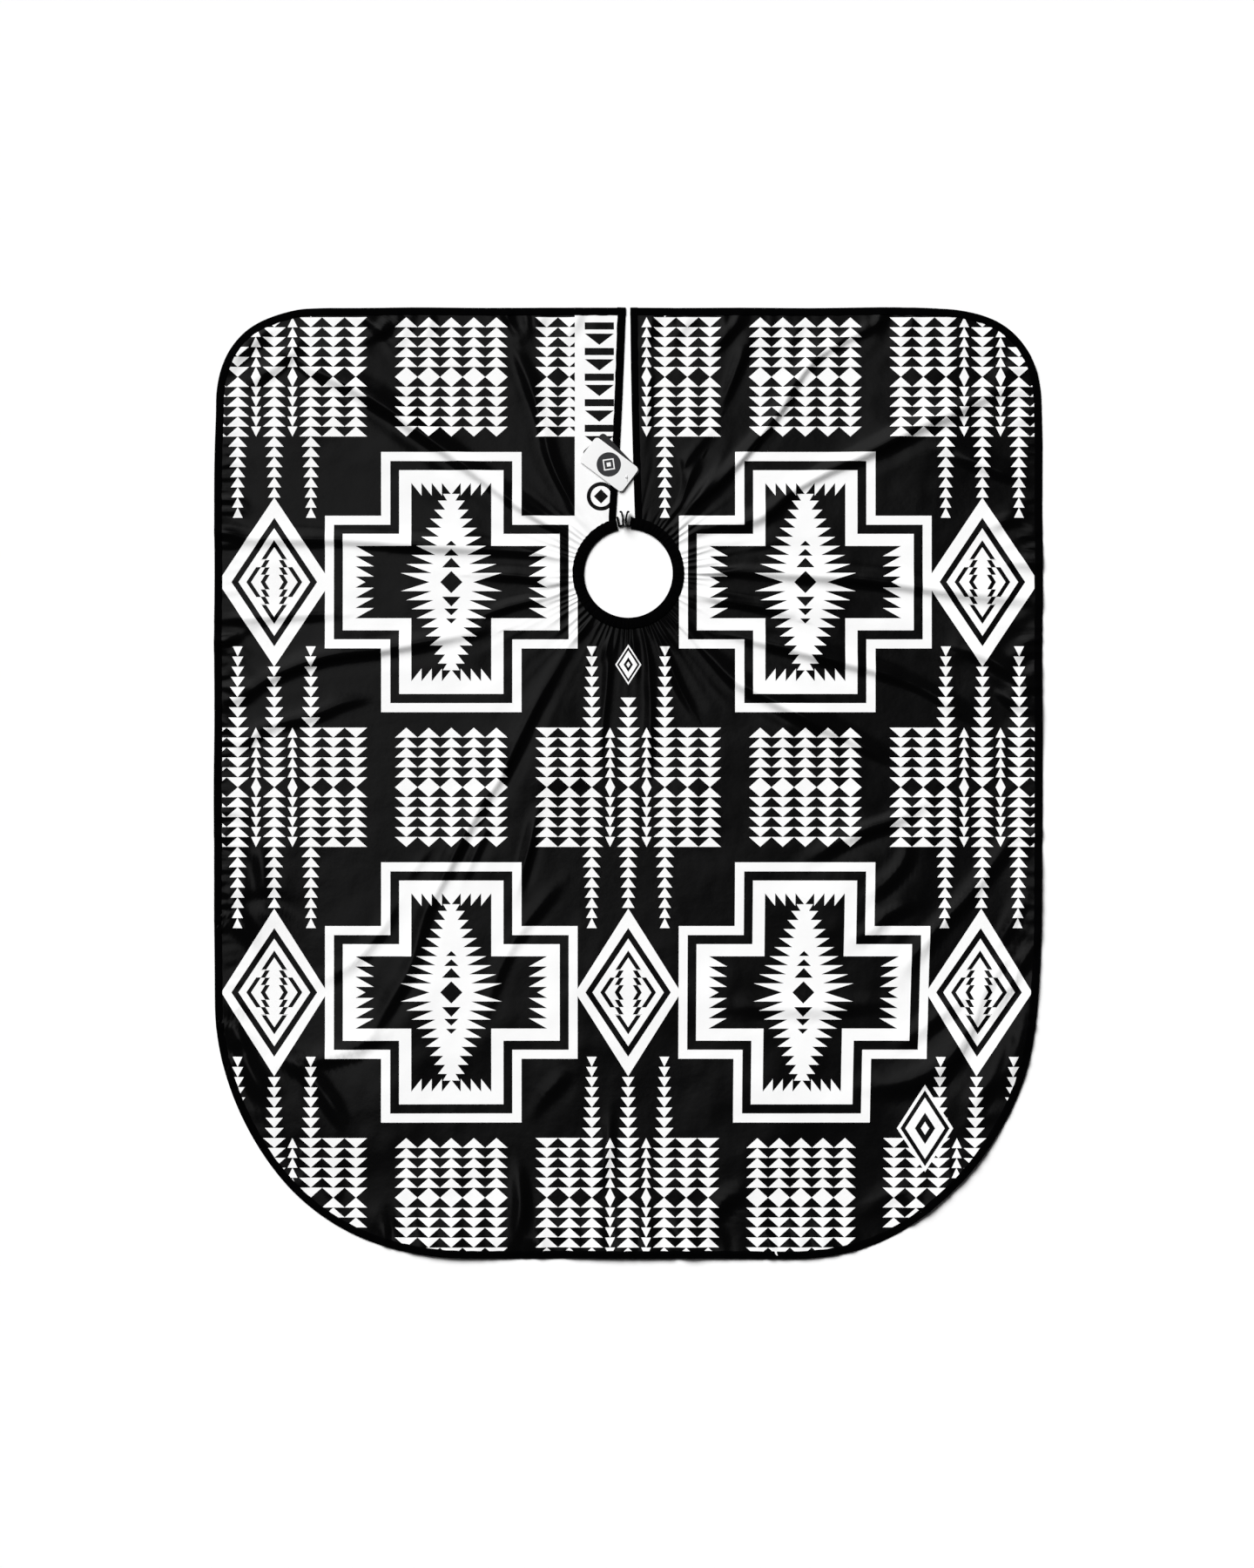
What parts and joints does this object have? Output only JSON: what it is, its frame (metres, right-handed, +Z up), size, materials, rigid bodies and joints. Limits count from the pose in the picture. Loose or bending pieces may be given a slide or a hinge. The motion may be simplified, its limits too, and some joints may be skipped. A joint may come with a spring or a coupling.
{
  "type": "barber cape",
  "caption": "Salon cutting cape laid flat: printed cloth panel with bound edges, a back opening, a gathered elastic neckband with a snap closure, and hanging swing tags.",
  "frame": {"origin": "middle of the cape's outline, on the surface that it lies on", "axes": "+Z up off the surface; +Y along the cape's length, towards the edge with the back opening; +X to the right as seen from above with +Y up the page"},
  "size_m": [1.328, 1.524, 0.0164],
  "materials": {
    "printed_cloth": "smooth woven polyester, black with a white print",
    "binding_tape": "folded black tape, matte",
    "neckband_cloth": "gathered black cloth, matte",
    "elastic_webbing": "ribbed black webbing",
    "closure_tape": "stiff black tape, matte",
    "snap_plastic": "black, satin",
    "white_card": "smooth white card",
    "black_card": "smooth black card",
    "clear_nylon": "clear to milky"
  },
  "bodies": {
    "cape": {"cape_panel": "printed_cloth", "outer_hem_binding": "binding_tape", "slit_binding_left": "binding_tape", "slit_binding_right": "binding_tape", "neckband_casing": "neckband_cloth", "neck_elastic": "elastic_webbing", "closure_gusset_left": "neckband_cloth", "closure_gusset_right": "neckband_cloth", "tag_pin": "clear_nylon"},
    "left_tape": {"snap_tape_left": "closure_tape", "snap_socket": "snap_plastic", "snap_cap": "snap_plastic"},
    "right_tape": {"snap_tape_right": "closure_tape", "snap_stud": "snap_plastic", "snap_back_ring": "snap_plastic"},
    "front_tag": {"tag_front_card": "white_card"},
    "back_tag": {"tag_back_card": "black_card"}
  },
  "joints": [
    {"name": "left_tape_opens", "type": "hinge", "parent": "cape", "child": "left_tape", "pos_m": [-0.0085, 0.4142, 0.0054], "axis": [0, 0, 1], "range_deg": [0, 80]},
    {"name": "right_tape_opens", "type": "hinge", "parent": "cape", "child": "right_tape", "pos_m": [-0.0037, 0.4142, 0.0054], "axis": [0, 0, -1], "range_deg": [0, 80]},
    {"name": "front_tag_swings", "type": "hinge", "parent": "cape", "child": "front_tag", "pos_m": [-0.0025, 0.4885, 0.0048], "axis": [0, 0, 1], "range_deg": [-120, 70]},
    {"name": "back_tag_swings", "type": "hinge", "parent": "cape", "child": "back_tag", "pos_m": [-0.0025, 0.4885, 0.0039], "axis": [0, 0, 1], "range_deg": [-111, 79]}
  ]
}
